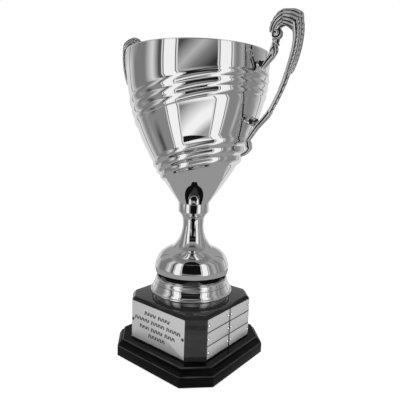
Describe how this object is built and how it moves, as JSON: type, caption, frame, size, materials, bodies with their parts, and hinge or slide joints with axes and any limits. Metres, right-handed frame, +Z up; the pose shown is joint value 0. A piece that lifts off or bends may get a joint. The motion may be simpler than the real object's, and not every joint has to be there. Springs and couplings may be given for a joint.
{
  "type": "cup trophy",
  "caption": "Two-handled presentation cup: a flared silver bowl with tilted swirl ridges on a knopped stem, standing on a stepped black plinth with a plaque and record plates.",
  "frame": {"origin": "centre of the underside, on the surface the trophy stands on", "axes": "+Z up through the bowl; -Y is the way the front plaque faces; X runs through both handles, and +X is the side where the swirl ridges climb highest"},
  "size_m": [0.347, 0.2214, 0.529],
  "materials": {
    "silver_plate": "mirror polished silver plate",
    "cast_silver": "cast and plated, antiqued dark in the recesses",
    "black_lacquer": "smooth black lacquer on hardwood",
    "satin_plate": "fine brushed satin sheet",
    "bright_pin": "polished domed pin",
    "dark_pin": "blackened domed pin",
    "steel": "zinc plated steel",
    "felt": "dark green baize"
  },
  "bodies": {
    "root": {"felt_pad": "felt", "plinth_base": "black_lacquer", "plinth_block": "black_lacquer", "base_screws": "steel", "rod_washer_lower": "steel", "rod_nut_lower": "steel", "centre_rod": "steel", "foot": "silver_plate", "knop": "silver_plate", "stem": "silver_plate", "collar": "silver_plate", "bowl": "silver_plate", "rod_washer_upper": "steel", "rod_nut_upper": "steel", "handle_left": "cast_silver", "handle_right": "cast_silver", "handle_washers": "steel", "handle_screws": "steel", "plaque": "satin_plate", "plaque_pins": "dark_pin", "record_plate_right_1": "satin_plate", "record_plate_right_2": "satin_plate", "record_plate_right_3": "satin_plate", "record_plate_right_4": "satin_plate", "record_plate_right_5": "satin_plate", "record_plate_right_6": "satin_plate", "record_plate_back_1": "satin_plate", "record_plate_back_2": "satin_plate", "record_plate_back_3": "satin_plate", "record_plate_back_4": "satin_plate", "record_plate_back_5": "satin_plate", "record_plate_back_6": "satin_plate", "record_plate_left_1": "satin_plate", "record_plate_left_2": "satin_plate", "record_plate_left_3": "satin_plate", "record_plate_left_4": "satin_plate", "record_plate_left_5": "satin_plate", "record_plate_left_6": "satin_plate", "plate_pins_right": "bright_pin", "plate_pins_back": "bright_pin", "plate_pins_left": "bright_pin"}
  },
  "joints": []
}
